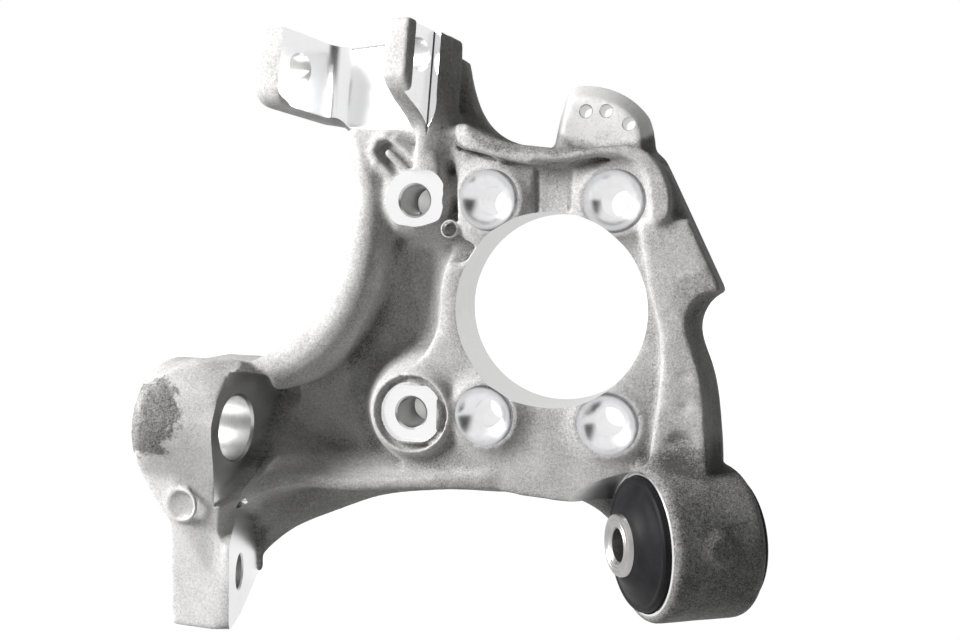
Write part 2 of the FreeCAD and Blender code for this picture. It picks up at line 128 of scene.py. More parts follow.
def rod(place, axis, centre, radius, low, high):
    """Distances to a round rod along one local axis."""
    at = place.local()
    across = [i for i in range(3) if i != axis]
    ring = np.sqrt(sum((at[i] - centre[k]) ** 2 for k, i in enumerate(across))) - radius
    end = np.abs(at[axis] - (low + high) / 2) - (high - low) / 2
    return np.minimum(np.maximum(ring, end), 0) + np.sqrt(
        np.maximum(ring, 0) ** 2 + np.maximum(end, 0) ** 2)


def slab(place, axis, outline, low, high):
    """Distances to an outline extruded along one local axis."""
    at = place.local()
    u, v = (at[i] for i in range(3) if i != axis)
    away = np.inf
    within = False
    for (ua, va), (ub, vb) in zip(outline, outline[1:] + outline[:1]):
        ru, rv = ub - ua, vb - va
        along = np.clip(((u - ua) * ru + (v - va) * rv) / (ru * ru + rv * rv), 0, 1)
        away = np.minimum(away, (u - ua - along * ru) ** 2 + (v - va - along * rv) ** 2)
        within = within ^ (((va > v) != (vb > v)) & (u < ua + (v - va) * ru / (rv or 1.0)))
    ring = np.sqrt(away) * np.where(within, -1, 1)
    end = np.abs(at[axis] - (low + high) / 2) - (high - low) / 2
    return np.minimum(np.maximum(ring, end), 0) + np.sqrt(
        np.maximum(ring, 0) ** 2 + np.maximum(end, 0) ** 2)


# Where the holes are, seen from the front, and their radii and depths
CALIPER_X, CALIPER_UP, CALIPER_LOW = -65.0, 49.4, -50.9
CALIPER_DEPTH = 25
SEATS = [(sx * 28.9, sz * 49.8) for sx in (-1, 1) for sz in (-1, 1)]
SEAT_MOUTH, BEARING_HOLE = 14.2, 6.75
TAB_HOLES = ((12, 91.5), (21.5, 91.5), (32, 85.5))
HUB_BORE, FLANGE, LUG_BORE, EAR_BORE, CLEVIS_BORE, CALIPER_HOLE, TAB_HOLE = 45, 70, 15.4, 8.2, 7.5, 7.3, 2.9
HOUSING_BORE, HOUSING_LENGTH = 31, 43.0
# How much stock the mould leaves for the milled faces of lug and ear
MILLING_ROOM = 1.8

# Outlines seen along the local axis that each of them is extruded on
LUG_FACE = [(0, 26.7), (53, 20), (50, 9), (36, -8), (14, -24), (-10, -36), (-16, -34), (-22.5, -15),
            (-24.3, -2), (-24.3, 5), (-14.5, 17.5)]
EAR_FACE = [(-25, 12), (-24.5, 16), (-18.7, 22.5), (0, 32.5), (27, 24), (41, 12), (46, 4), (52, -14),
            (30, -17.5), (-8, -23.5), (-21, -21), (-25, -15)]
NECK_FRONT = [(-81, -86), (-81, -97), (-77.2, -126), (-66, -126), (-66, -86)]
RIGHT_EAR = [(-14, 13.2), (-14, -13), (-10.5, -17.5), (9.5, -31.5), (28, -36), (28, 13.2)]

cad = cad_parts["knuckle"]
cad.data.calc_loop_triangles()
corners = np.array([v.co for v in cad.data.vertices], np.float32) * 1000
faces = np.array([t.vertices for t in cad.data.loop_triangles], np.uint32)
solid = field_of(mould_grid(corners, faces))

# What the casting was before the tools cut it: holes filled, milled faces left proud
plugs = [
    rod(ROW, 1, (0, 0), HUB_BORE + 1.0, -31.0, 3.0),
    rod(ROW, 1, (0, 0), FLANGE - 4.0, -6.0, 3.0),
    rod(ROW, 1, (CALIPER_X, CALIPER_UP), 14.2, -38.0, -5.0),
    rod(ROW, 1, (CALIPER_X, CALIPER_LOW), 15.5, -36.5, -5.0),
    rod(BUSH, 0, (0, 0), HOUSING_BORE + 0.5, 0.6, HOUSING_LENGTH - 0.6),
    rod(LUG, 0, (0, 0), LUG_BORE + 2.1, -37.0, MILLING_ROOM),
    slab(LUG, 0, LUG_FACE, -12.0, MILLING_ROOM),
    rod(EAR, 0, (0, 0), EAR_BORE + 1.8, -18.0, MILLING_ROOM),
    np.maximum(slab(EAR, 0, EAR_FACE, -14.0, MILLING_ROOM), np.maximum(-77.0 - AT_Y, -152.5 - AT_Z)),
    # Web beside the lug, front of the neck down to the ear, and the chamfer under the ear
    block(ROW, (-144, -6.5, -52), (-129, -1, -37)),
    slab(ROW, 0, NECK_FRONT, -168.0, -146.0),
    block(ROW, (-168.5, -77, -152.5), (-145.5, -64, -138)),
    # Body under the clevis, foot of its left ear, and its right ear
    block(CLEVIS, (-2, -3.0, -19), (66, 29, 17.0)),
    block(CLEVIS, (-2, -13.0, -14), (16, 29, 16.5)),
    slab(CLEVIS, 0, RIGHT_EAR, 66.0, 80.0),
]
plugs += [rod(ROW, 1, (x, z), SEAT_MOUTH + 0.2, -33.3, -2.0) for x, z in SEATS]
plugs += [rod(ROW, 1, (x, z), TAB_HOLE + 0.7, -18.5, -6.5) for x, z in TAB_HOLES]
for plug in plugs:
    solid = np.minimum(solid, plug)

closed = reskin(grid_of(solid), FILLET)
rounded = reskin(closed, -FILLET - EDGE_ROUND)
field = field_of(rounded) - EDGE_ROUND


def soften(values, weights):
    """Blurs a field along its three axes."""
    half = len(weights) // 2
    for axis in range(3):
        padded = np.concatenate([np.repeat(values.take([0], axis), half, axis), values,
                                 np.repeat(values.take([-1], axis), half, axis)], axis)
        values = sum(w * padded.take(range(i, i + values.shape[axis]), axis)
                     for i, w in enumerate(weights))
    return values


def bell(sigma):
    """Weights of a bell curve, which soften takes."""
    reach = math.ceil(3 * sigma)
    weights = np.exp(-0.5 * (np.arange(-reach, reach + 1) / sigma) ** 2)
    return (weights / weights.sum()).astype(np.float32)


def blend(a, b, width):
    """Union of two fields with a fillet of about the width."""
    overlap = np.clip(width - np.abs(a - b), 0, None) / width
    return np.minimum(a, b) - overlap ** 2 * width / 4


# The barrel of the lug narrows towards its milled face
BARREL_EDGE = [(4, 60), (4, 33), (-8, 27), (-18, 17), (-23.3, 4.6), (-23.3, -1.9), (-21.5, -14.8),
               (-20.5, -30), (-21, -45), (-22.8, -95), (80, -95), (80, 60)]
bulge = 0.28 * np.maximum(LUG.origin[0] - AT_X, 0)
inset = slab(Place((0, -55.0, -60.6)), 0, BARREL_EDGE, -300, 300) - bulge
barrel = 34.5 - np.hypot(AT_Y - LUG.origin[1], np.maximum(AT_Z - LUG.origin[2], 0))
field = np.maximum(field, np.where(AT_X < LUG.origin[0] + 6, np.minimum(inset, barrel), -REACH))

field = soften(field, bell(0.65)).astype(np.float32)


def cone(x, z, y, radius, run, slope):
    """Distances to a cone that widens outboard by run for each millimetre behind its front at y."""
    side = (np.hypot(AT_X - x, AT_Z - z) - radius - run * (AT_Y - y)) / slope
    return np.maximum(side, y - AT_Y)


# Ramps round the bearing bolt seats and the mound round the lower caliper boss
for x, z in SEATS:
    ramp = cone(x, z, -34.9, 15.5, 2.2, 2.42)
    field = blend(field, np.maximum(ramp, np.maximum(AT_Y + 31.6, -44.0 - AT_X)), 1.5)
mound = cone(CALIPER_X, CALIPER_LOW, -36.3, 19.0, 0.55, 1.14)
field = blend(field, np.maximum(mound, np.maximum(AT_Y + 12, -74 - AT_Z)), 4.0)

# The hub plate flows into the channel, and the rim into the clevis, where the field is blurred more
PLATE_RUN = [(-54, 42), (-72, 42), (-84, 20), (-86, -30), (-70, -30), (-52, -12), (-52, 20)]
RIM_RUN = [(-62, 92), (-46, 92), (-40, 72), (-47, 64), (-60, 70)]
flowing = np.maximum(slab(ROW, 1, PLATE_RUN, -40, 5), -rod(ROW, 1, (0, 0), 49.0, -60, 40))
flowing = np.minimum(flowing, slab(ROW, 1, RIM_RUN, -60, 5))
weight = np.clip(0.5 - flowing / 8, 0, 1)
hollow = soften(field, bell(5.0))
field = field + (hollow - field) * weight


def capsule(a, b, radius):
    """Distances to a rod with ball ends between two points."""
    ax, ay, az = a
    run = [q - p for p, q in zip(a, b)]
    length = sum(r * r for r in run)
    along = ((AT_X - ax) * run[0] + (AT_Y - ay) * run[1] + (AT_Z - az) * run[2]) / length
    along = np.clip(along, 0, 1)
    return np.sqrt((AT_X - ax - run[0] * along) ** 2 + (AT_Y - ay - run[1] * along) ** 2
                   + (AT_Z - az - run[2] * along) ** 2) - radius


def torus(x, y, z, ring, radius):
    """Distances to a round bead that lies flat round a point."""
    around = np.sqrt((AT_X - x) ** 2 + (AT_Z - z) ** 2) - ring
    return np.sqrt(around ** 2 + (AT_Y - y) ** 2) - radius


def groove(values, path, radius, width):
    """Takes a round channel along a path out of a field."""
    for a, b in zip(path, path[1:]):
        values = -blend(-values, capsule(a, b, radius), width)
    return values


def ridge_of(values, path, radius, width):
    """Adds a round rib along a path to a field."""
    for a, b in zip(path, path[1:]):
        values = blend(values, capsule(a, b, radius), width)
    return values


# Hairpin rib with its inner bar, beside the upper caliper boss
LOOP = [(-72.4, 55.9), (-84.9, 67.4), (-86.8, 72.3), (-85.1, 77.1), (-80.5, 79.2), (-75.9, 77.3),
        (-63.4, 65.8)]
TRENCH = [(-75.7, 63.9), (-82.5, 70.1), (-83.6, 72.9), (-82.2, 75.4), (-79.6, 75.9), (-77.9, 74.9),
          (-68.2, 66.0)]
field = ridge_of(field, [(x, -33.0, z) for x, z in LOOP], 2.3, 1.6)
field = groove(field, [(x, -33.9, z) for x, z in TRENCH], 1.7, 0.6)
field = groove(field, [(-83.2, -33.0, 71.6), (-82.2, -32.0, 73.4)], 2.2, 0.8)
field = ridge_of(field, [(-79.0, -32.9, 71.6), (-68.0, -32.9, 61.6)], 1.9, 0.6)
field = groove(field, [(-91.4, -35.4, 70.6), (-88.8, -35.2, 64.6), (-82.6, -35.6, 58.6)], 2.4, 1.0)
# Crisp inner line of the top rim
RIM_LINE = [(-43.5, 73.6), (-35.7, 71.6), (-23.7, 68.4), (-14.3, 66.2), (-5.0, 65.2), (4.2, 65.7),
            (13.2, 67.3), (22.2, 68.7), (28.8, 69.0), (35.2, 67.9), (39.8, 65.0), (43.8, 59.8),
            (45.8, 52.6), (46.4, 46.0)]
field = groove(field, [(x, -32.9, z) for x, z in RIM_LINE], 1.5, 0.6)
# Steps of the shallow strip between the upper seats
field = groove(field, [(-7.0, -31.4, 63.5), (-7.0, -31.4, 45.5)], 1.3, 0.6)
field = groove(field, [(8.6, -31.6, 64.0), (8.6, -31.6, 46.0)], 1.0, 0.6)
# Burr round the pin hole
PIN = (-48.0, 36.4)
field = blend(field, torus(PIN[0], -33.2, PIN[1], 3.4, 1.2), 0.8)
# Trenches round the caliper faces
field = -blend(-field, torus(CALIPER_X + 0.3, -35.9, CALIPER_LOW, 16.3, 1.6), 1.0)
upper_trench = torus(CALIPER_X + 0.8, -35.6, CALIPER_UP, 17.0, 1.3)
field = -blend(-field, np.maximum(upper_trench, AT_Z - CALIPER_UP - 4), 1.0)
# Round mark on the neck of the lug
MARK_X, MARK_Z = -160.2, -93.4
field = blend(field, torus(MARK_X, -80.3, MARK_Z, 7.2, 1.0), 1.5)
field = -blend(-field, capsule((MARK_X, -87.2, MARK_Z), (MARK_X, -88.2, MARK_Z), 7.4), 1.5)
field = np.ascontiguousarray(field, np.float32)
skin_points, skin_triangles, skin_quads = grid_of(field).convertToPolygons(isovalue=0.0, adaptivity=0.02)


def mesh_object(name, points, polygons):
    """A mesh of points in millimetres, as an object of the scene."""
    mesh = bpy.data.meshes.new(name)
    mesh.from_pydata([Vector(p) / 1000 for p in points], [], polygons)
    mesh.update()
    made = bpy.data.objects.new(name, mesh)
    bpy.context.scene.collection.objects.link(made)
    return made


casting = mesh_object("knuckle_casting", skin_points.tolist(),
                      skin_quads.tolist() + skin_triangles.tolist())
shells = bmesh.new()
shells.from_mesh(casting.data)
bmesh.ops.recalc_face_normals(shells, faces=shells.faces)
shells.to_mesh(casting.data)
shells.free()


class Tool:
    """Closed meshes that the machining tools sweep, in millimetres, joined into one object."""

    def __init__(self, name):
        self.name = name
        self.points = []
        self.polygons = []
        self.marks = []

    def add(self, points, polygons, mark):
        """Takes up one more mesh; mark is the number of the finish that its faces leave."""
        first = len(self.points)
        self.points += points
        self.polygons += [[first + i for i in polygon] for polygon in polygons]
        self.marks += [mark] * len(polygons)

    def turned(self, place, profile, mark, segments=96):
        """A solid of revolution about the local x axis; the profile starts and ends on the axis."""
        rings = profile[1:-1]
        angles = [2 * math.pi * k / segments for k in range(segments)]
        points = [place.out(x, r * math.cos(a), r * math.sin(a)) for x, r in rings for a in angles]
        points += [place.out(profile[0][0], 0, 0), place.out(profile[-1][0], 0, 0)]
        start, end = len(points) - 2, len(points) - 1
        last = (len(rings) - 1) * segments
        polygons = []
        for k in range(segments):
            n = (k + 1) % segments
            polygons += [[i * segments + k, i * segments + n, (i + 1) * segments + n, (i + 1) * segments + k]
                         for i in range(len(rings) - 1)]
            polygons += [[start, n, k], [end, last + k, last + n]]
        self.add(points, polygons, mark)

    def prism(self, place, outline, low, high, mark, axis=0, foot=None, wall=None):
        """An outline extruded along one local axis; foot gives the low end from the first value,
        and wall is the finish that its sides leave where it isn't mark."""
        count = len(outline)

        def at(u, v, w):
            seat = [u, v]
            seat.insert(axis, w)
            return place.out(*seat)

        points = [at(u, v, foot(u) if foot else low) for u, v in outline]
        points += [at(u, v, high) for u, v in outline]
        polygons = [list(range(count))[::-1], list(range(count, 2 * count))]
        self.add(points, polygons, mark)
        sides = [[k, (k + 1) % count, count + (k + 1) % count, count + k] for k in range(count)]
        self.add([], [[i - len(points) for i in side] for side in sides], mark if wall is None else wall)

    def cut(self, target, materials):
        """Takes the tool's meshes out of the target."""
        tool = mesh_object(self.name, self.points, self.polygons)
        for material in materials:
            tool.data.materials.append(material)
        tool.data.polygons.foreach_set("material_index", self.marks)
        shape = bmesh.new()
        shape.from_mesh(tool.data)
        bmesh.ops.recalc_face_normals(shape, faces=shape.faces)
        shape.to_mesh(tool.data)
        shape.free()
        change = target.modifiers.new(self.name, "BOOLEAN")
        change.operation = "DIFFERENCE"
        change.solver = "MANIFOLD"
        change.object = tool
        bpy.context.view_layer.objects.active = target
        bpy.ops.object.modifier_apply(modifier=change.name)
        bpy.data.objects.remove(tool)


def curve_through(points, count=8):
    """Points of a smooth run through the given ones."""
    ends = [points[0]] + points + [points[-1]]
    run = []
    for a, b, c, d in zip(ends, ends[1:], ends[2:], ends[3:]):
        for k in range(count):
            t = k / count
            run.append(tuple(
                0.5 * (2 * q + (r - p) * t + (2 * p - 5 * q + 4 * r - s) * t ** 2
                       + (3 * q - p - 3 * r + s) * t ** 3) for p, q, r, s in zip(a, b, c, d)))
    return run + [points[-1]]


def spot_outline(grow=0.0):
    """Round machined face with flats to the right, above and below, joined by round corners."""
    flat, corner, radius = 13.4 + grow, 7.5, 14.4 + grow
    outline = []
    for side, start in ((1, 0), (-1, -math.pi / 2)):
        for k in range(17):
            angle = start + math.pi * k / 32
            outline.append((flat - corner + corner * math.cos(angle),
                            side * (flat - corner) + corner * math.sin(angle)))
        if side > 0:
            for k in range(49):
                angle = math.radians(112 + 136 * k / 48)
                outline.append((radius * math.cos(angle), radius * math.sin(angle)))
    return outline


CAST, MILLED, BORED, SEAT = range(4)

INBOARD = -90      # turn that brings a tool's own axis to the camera's side
SEAT_Y = -35

# Through holes and blind holes; each profile is (along the axis, radius), with its chamfers
bores = Tool("bores")
bores.turned(Place((0, 0, 0), turn=INBOARD), [(-12, 0), (-12, HUB_BORE), (60, HUB_BORE), (60, 0)], BORED, 160)
bores.turned(BUSH, [(-25, 0), (-25, HOUSING_BORE + 1), (0, HOUSING_BORE + 1), (1.0, HOUSING_BORE),
                    (42, HOUSING_BORE), (43, HOUSING_BORE + 1), (70, HOUSING_BORE + 1), (70, 0)], BORED, 128)
bores.turned(LUG, [(-60, 0), (-60, 16.6), (-38.7, 16.6), (-37.5, LUG_BORE), (-1.2, LUG_BORE), (0, 16.6),
                   (12, 16.6), (12, 0)], BORED)
bores.turned(EAR, [(-40, 0), (-40, EAR_BORE), (-0.8, EAR_BORE), (0, 9.0), (8, 9.0), (8, 0)], BORED)
bores.turned(CLEVIS, [(-40, 0), (-40, CLEVIS_BORE), (110, CLEVIS_BORE), (110, 0)], BORED)
for x, z in TAB_HOLES:
    bores.turned(Place((x, -19, z), turn=INBOARD),
                 [(-25, 0), (-25, TAB_HOLE), (-0.4, TAB_HOLE), (0.4, 3.7), (5, 3.7), (5, 0)], BORED, 48)
for z in (CALIPER_UP, CALIPER_LOW):
    bores.turned(Place((CALIPER_X, SEAT_Y, z), turn=INBOARD),
                 [(-CALIPER_DEPTH - CALIPER_HOLE / 2, 0), (-CALIPER_DEPTH, CALIPER_HOLE),
                  (-0.9, CALIPER_HOLE), (0, 8.2), (3, 8.2), (3, 0)], BORED)

# Milled faces and the ball shaped seats of the bearing bolts
faces = Tool("faces")
BALL, BALL_AHEAD = 16.6, 8.6
for x, z in SEATS:
    dish = [(BALL_AHEAD - math.sqrt(BALL ** 2 - r ** 2), r)
            for r in np.linspace(BEARING_HOLE, SEAT_MOUTH, 20).tolist()]
    faces.turned(Place((x, SEAT_Y, z), turn=INBOARD),
                 [(-50, 0), (-50, BEARING_HOLE)] + dish + [(4, SEAT_MOUTH), (4, 0)], SEAT, 128)
for z, grow in ((CALIPER_UP, 0.6), (CALIPER_LOW, 0.0)):
    faces.prism(Place((CALIPER_X, 0, z)), spot_outline(grow), -60, SEAT_Y, MILLED, axis=1)
# Faces of the lug and the ear: the cutter's sweep leaves a cast wall behind its curved end
lug_sweep = curve_through([(50.2, 18.8), (42.6, 8.2), (28.4, -10.8), (10.4, -25.0), (-8.9, -32.6)])
faces.prism(LUG, lug_sweep + [(-40, -35.4), (-40, 28.6), (1.6, 27.2)], 0, 6, MILLED, wall=CAST)
faces.turned(Place(LUG.out(0, -6.2, -35.0), turn=12), [(-3.5, 0), (-2.4, 2.3), (8, 2.6), (8, 0)], MILLED, 40)
ear_sweep = curve_through([(0.2, 31.1), (16, 26.6), (28.4, 19.3), (38.8, 8.0), (44.2, -2.0), (47.3, -12.7),
                           (50, -30)])
faces.prism(EAR, [(-12, 34)] + ear_sweep + [(50, -60), (-60, -60), (-60, 34)], 0, 8, MILLED, wall=CAST)
# Pin hole beside the upper caliper boss
faces.turned(Place((PIN[0], -33, PIN[1]), turn=INBOARD),
             [(-9, 0), (-9, 1.5), (-1.2, 2.2), (0.6, 3.4), (4, 4.4), (4, 0)], SEAT, 40)
# The clevis mouth, a slot with round inner corners, and the pocket behind its right ear
quarter = np.linspace(0, math.pi / 2, 17).tolist()
mouth = [(0, -60), (0, 0)]
mouth += [(11 - 11 * math.cos(a), 17 + 11 * math.sin(a)) for a in quarter]
mouth += [(s, 28) for s in np.linspace(13, 53, 17).tolist()]
mouth += [(55 + 11 * math.sin(a), 17 + 11 * math.cos(a)) for a in quarter]
mouth += [(66, 0), (66, -60)]


def mouth_foot(s):
    """How low the cutter reaches: it runs out on the cast body under the clevis."""
    return -24.0 - 10.0 * math.sin(math.pi * min(max((s - 4) / 56, 0), 1)) ** 0.6


faces.prism(CLEVIS, mouth, -30, 45, MILLED, axis=2, foot=mouth_foot)
faces.prism(CLEVIS, [(76, -8.5), (76, 9.5), (110, 9.5), (110, -8.5)], -34, 40, MILLED, axis=2)
# Lines that the mould leaves in the clevis, along the right ear and the far edge of the slot's floor
relief = Tool("relief")
relief.prism(CLEVIS, [(75.4, 8.8), (76.4, 8.8), (76.4, 10.3), (75.4, 10.3)], -34, 40, CAST, axis=2)
relief.prism(CLEVIS, [(1, 27.4), (65, 27.4), (65, 29.0), (1, 29.0)], 15.7, 24, CAST, axis=2)

# Faced ring on the outboard side
flange = Tool("flange")
flange.turned(Place((0, 0, 0), turn=INBOARD), [(-6, 0), (-6, FLANGE), (0, FLANGE), (0, 0)], MILLED, 128)


class Wire:
    """A socket of a material that is being written; sums and products of wires add Math nodes."""

    def __init__(self, tree, socket=None):
        self.tree = tree
        self.socket = socket

    def node(self, kind, settings=None, values=None, out=0):
        """Adds one node: its settings first, then the values or links of its sockets."""
        made = self.tree.nodes.new("ShaderNode" + kind)
        for name, value in (settings or {}).items():
            if name == "stops":
                ramp = made.color_ramp.elements
                for k, (at, colour) in enumerate(value):
                    stop = ramp[k] if k < 2 else ramp.new(at)
                    stop.position = at
                    stop.color = (*colour, 1)
            else:
                setattr(made, name, value)
        for name, value in (values or {}).items():
            if isinstance(value, Wire):
                self.tree.links.new(value.socket, made.inputs[name])
            else:
                made.inputs[name].default_value = value
        return Wire(self.tree, made.outputs[out])

    def sum(self, operation, *values, clamp=False):
        """One Math node."""
        return self.node("Math", {"operation": operation, "use_clamp": clamp}, dict(enumerate(values)))

    def __add__(self, other): return self.sum("ADD", self, other)
    def __radd__(self, other): return self.sum("ADD", other, self)
    def __sub__(self, other): return self.sum("SUBTRACT", self, other)
    def __rsub__(self, other): return self.sum("SUBTRACT", other, self)
    def __mul__(self, other): return self.sum("MULTIPLY", self, other)
    def __rmul__(self, other): return self.sum("MULTIPLY", other, self)

    def clamped(self):
        return self.sum("ADD", self, 0.0, clamp=True)

    def step(self, low, high):
        """Rises smoothly from 0 to 1 between two values."""
        return self.node("MapRange", {"interpolation_type": "SMOOTHSTEP"},
                         {"Value": self, "From Min": low, "From Max": high})

    def noise(self, scale, detail=2.0, roughness=0.5, squeeze=None):
        """Noise in the piece's own coordinates; squeeze draws it out into lines."""
        place = self.node("TexCoord", out="Object")
        if squeeze:
            place = self.node("VectorMath", {"operation": "MULTIPLY"}, {0: place, 1: squeeze})
        return self.node("TexNoise", {}, {"Vector": place, "Scale": scale, "Detail": detail,
                                          "Roughness": roughness})

    def spot(self, centre, reach, ragged=0.0, scale=140.0):
        """One inside an ellipsoid of the casting and nothing outside it, with a ragged border."""
        place = self.node("TexCoord", out="Object")
        place = self.node("VectorMath", {"operation": "SUBTRACT"}, {0: place, 1: centre})
        place = self.node("VectorMath", {"operation": "DIVIDE"}, {0: place, 1: reach})
        away = self.node("VectorMath", {"operation": "LENGTH"}, {0: place}, out="Value")
        return 1.0 - (away + (self.noise(scale, 4.0, 0.7) - 0.5) * ragged).step(0.85, 1.05)

    def tint(self, amount, first, second):
        """A colour between two; a mix node's third result is the colour."""
        return self.node("Mix", {"data_type": "RGBA"}, {"Factor": amount, "A": first, "B": second}, out=2)


def finish_of(name, **sockets):
    """A material with one principled shader; returns it with a wire to write on."""
    material = bpy.data.materials.new(name)
    material.use_nodes = True
    shader = material.node_tree.nodes["Principled BSDF"]
    for socket, value in sockets.items():
        shader.inputs[socket.replace("_", " ")].default_value = value
    return material, shader, Wire(material.node_tree)


def wear(material, shader, **links):
    """Links wires to the shader's sockets."""
    for socket, wire in links.items():
        material.node_tree.links.new(wire.socket, shader.inputs[socket.replace("_", " ")])


def cast_skin():
    """Gravity cast aluminium: fine sand grain, dark pores, painted shade with some soot in the hollows, bare
    metal on edges, patches of painted light and shade.
    """
    material, shader, w = finish_of("cast_skin", IOR=1.22)
    # How far a point lies in a hollow or on a ridge of the skin, from 0 to 1
    hollow_depth = w.node("Attribute", {"attribute_name": "hollow"}, out="Fac")
    ridge = w.node("Attribute", {"attribute_name": "ridge"}, out="Fac")
    grain = w.noise(1500.0, 3.0, 0.75)
    speck = w.noise(650.0, 2.0, 0.6)
    blotch = w.noise(45.0, 4.0, 0.6)
    # Patches in metres: the tab lighter, partly a smoother brushed finish and partly painted light, painted
    # light on lug and ear, painted shade on the bush housing and the right arm, a painted shadow on the bed
    # of the channel, less painted shade of the hollows on the plate between the upper seats and left of the
    # upper caliper boss, the lug worn at its left, and the top rim pitted
    bright = w.spot((0.022, -0.020, 0.093), (0.032, 0.03, 0.018), 0.3)
    housing_painted_shade = w.spot((0.082, -0.050, -0.101), (0.062, 0.075, 0.052), 0.25, 60.0)
    lug_ear_painted_light = w.spot((-0.168, -0.070, -0.100), (0.036, 0.045, 0.075), 0.3, 30.0)
    shade = w.spot((0.076, -0.035, 0.008), (0.020, 0.03, 0.016), 0.7, 60.0)
    channel_painted_shadow = w.spot((-0.088, -0.010, -0.020), (0.020, 0.022, 0.060), 0.5, 30.0)
    panel = (w.spot((0.0, -0.032, 0.055), (0.058, 0.02, 0.022), 0.1)
             + w.spot((-0.086, -0.035, 0.050), (0.02, 0.03, 0.03), 0.3))
    worn = w.spot((-0.176, -0.080, -0.054), (0.0145, 0.025, 0.018), 1.2)
    pitted = w.spot((0.003, -0.033, 0.079), (0.056, 0.014, 0.012), 0.8)
    tone = 0.55 + (grain - 0.5) * 1.3 + (speck - 0.5) * 0.45 + (blotch - 0.5) * 0.6
    # Painted shade with some soot darkens the hollows, less so in the panel patches; ridges show bare metal
    tone = tone - hollow_depth * (0.4 - panel * 0.3) + ridge * 0.06
    tone = tone - worn * 0.62 - pitted * (0.1 + speck * 0.45)
    # Painted light on the tab, lug and ear, painted shade on the bush housing and right arm, painted shadow
    # on the channel bed
    tone = tone + bright * 0.5 + lug_ear_painted_light * 0.3 - housing_painted_shade * 0.38 - shade * 0.2 - channel_painted_shadow * 0.16
    colour = w.node("ValToRGB", {"stops": [(0.0, (0.10, 0.098, 0.094)), (0.5, (0.52, 0.515, 0.505)),
                                           (1.0, (0.90, 0.895, 0.885))]}, {"Fac": tone})
    height = grain * 0.6 + speck * 0.8 + blotch * 0.5
    bump = w.node("Bump", {}, {"Height": height, "Strength": 0.5, "Distance": 0.0003})
    wear(material, shader, Base_Color=colour, Roughness=0.66 - (blotch - 0.5) * 0.3 - ridge * 0.1,
         Metallic=(ridge * 0.1 + bright * 0.3 + worn * 0.2).clamped(), Normal=bump)
    return material


def milled_metal():
    """Aluminium straight from the face mill: bright, with faint tool lines."""
    material, shader, w = finish_of("milled_metal", Metallic=1.0)
    lines = w.noise(300.0, 3.0, 0.6, squeeze=(1.0, 1.0, 9.0))
    cloud = w.noise(25.0, 2.0)
    colour = w.tint((0.4 + (lines - 0.5) * 0.4 + (cloud - 0.5) * 0.9).clamped(),
                    (0.95, 0.95, 0.955, 1), (0.80, 0.80, 0.805, 1))
    bump = w.node("Bump", {}, {"Height": lines, "Strength": 0.05, "Distance": 0.0001})
    wear(material, shader, Base_Color=colour, Roughness=0.18 + lines * 0.1, Normal=bump)
    return material


def bored_metal():
    """Walls of drilled and bored holes, with rings left by the tool."""
    material, shader, w = finish_of("bored_metal", Metallic=1.0)
    rings = w.noise(160.0, 3.0, 0.6, squeeze=(9.0, 9.0, 1.0))
    colour = w.tint(rings, (0.52, 0.52, 0.515, 1), (0.76, 0.76, 0.755, 1))
    bump = w.node("Bump", {}, {"Height": rings, "Strength": 0.12, "Distance": 0.00015})
    wear(material, shader, Base_Color=colour, Roughness=0.24 + rings * 0.16, Normal=bump)
    return material


def seat_metal():
    """Ball shaped bolt seats, burnished by the form tool."""
    material, shader, w = finish_of("seat_metal", Metallic=1.0)
    streak = w.noise(260.0, 3.0, 0.6)
    colour = w.tint(streak, (0.74, 0.74, 0.75, 1), (0.92, 0.92, 0.93, 1))
    bump = w.node("Bump", {}, {"Height": streak, "Strength": 0.05, "Distance": 0.0001})
    wear(material, shader, Base_Color=colour, Roughness=0.16 + streak * 0.12, Normal=bump)
    return material


finishes = [cast_skin(), milled_metal(), bored_metal(), seat_metal()]
for finish in finishes:
    casting.data.materials.append(finish)
for tool in (bores, faces, relief, flange):
    tool.cut(casting, finishes)


def sample(values, points):
    """Reads a field at points in millimetres, from the eight grid points round each."""
    at = points - np.array(FIELD_LOW, np.float32)
    base = np.clip(np.floor(at).astype(int), 0, np.array(values.shape) - 2)
    part = at - base
    total = 0
    for dx in (0, 1):
        for dy in (0, 1):
            for dz in (0, 1):
                weight = (np.where(dx, part[:, 0], 1 - part[:, 0]) * np.where(dy, part[:, 1], 1 - part[:, 1])
                          * np.where(dz, part[:, 2], 1 - part[:, 2]))
                total = total + weight * values[base[:, 0] + dx, base[:, 1] + dy, base[:, 2] + dz]
    return total


# Depth of a hollow and height of a ridge, in millimetres, at which their painted shade and bare metal are
# full
HOLLOW_FULL, RIDGE_FULL = 2.5, 0.9
SHARP_ANGLE = 0.45
vertices = np.empty(len(casting.data.vertices) * 3, np.float32)
casting.data.vertices.foreach_get("co", vertices)
vertices = vertices.reshape(-1, 3) * 1000
buried = sample(hollow, vertices)
near = sample(soften(field, bell(1.6)), vertices)
for name, values in (("hollow", np.clip(-buried / HOLLOW_FULL, 0, 1)),
                     ("ridge", np.clip(near / RIDGE_FULL, 0, 1))):
    mark = casting.data.attributes.new(name, "FLOAT", "POINT")
    mark.data.foreach_set("value", values.astype(np.float32))

edges = bmesh.new()
edges.from_mesh(casting.data)
for face in edges.faces:
    face.smooth = True
for edge in edges.edges:
    if len(edge.link_faces) == 2:
        one, two = edge.link_faces
        cut_edge = one.material_index != two.material_index
        both_cut = min(one.material_index, two.material_index) > CAST
        edge.smooth = not (cut_edge or (both_cut and edge.calc_face_angle(0) > SHARP_ANGLE))
edges.to_mesh(casting.data)
edges.free()
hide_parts("knuckle")
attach(casting, "root")

# The rubber of the bush: a ring of black rubber, moulded between two steel tubes and bonded to both.
# It lets the arm that is bolted through the bush tilt and turn a few degrees.

BUSH_SEGMENTS = 128
SOFT_ANGLE = 0.5
RUBBER_OUT, RUBBER_IN = 29.4, 13.7


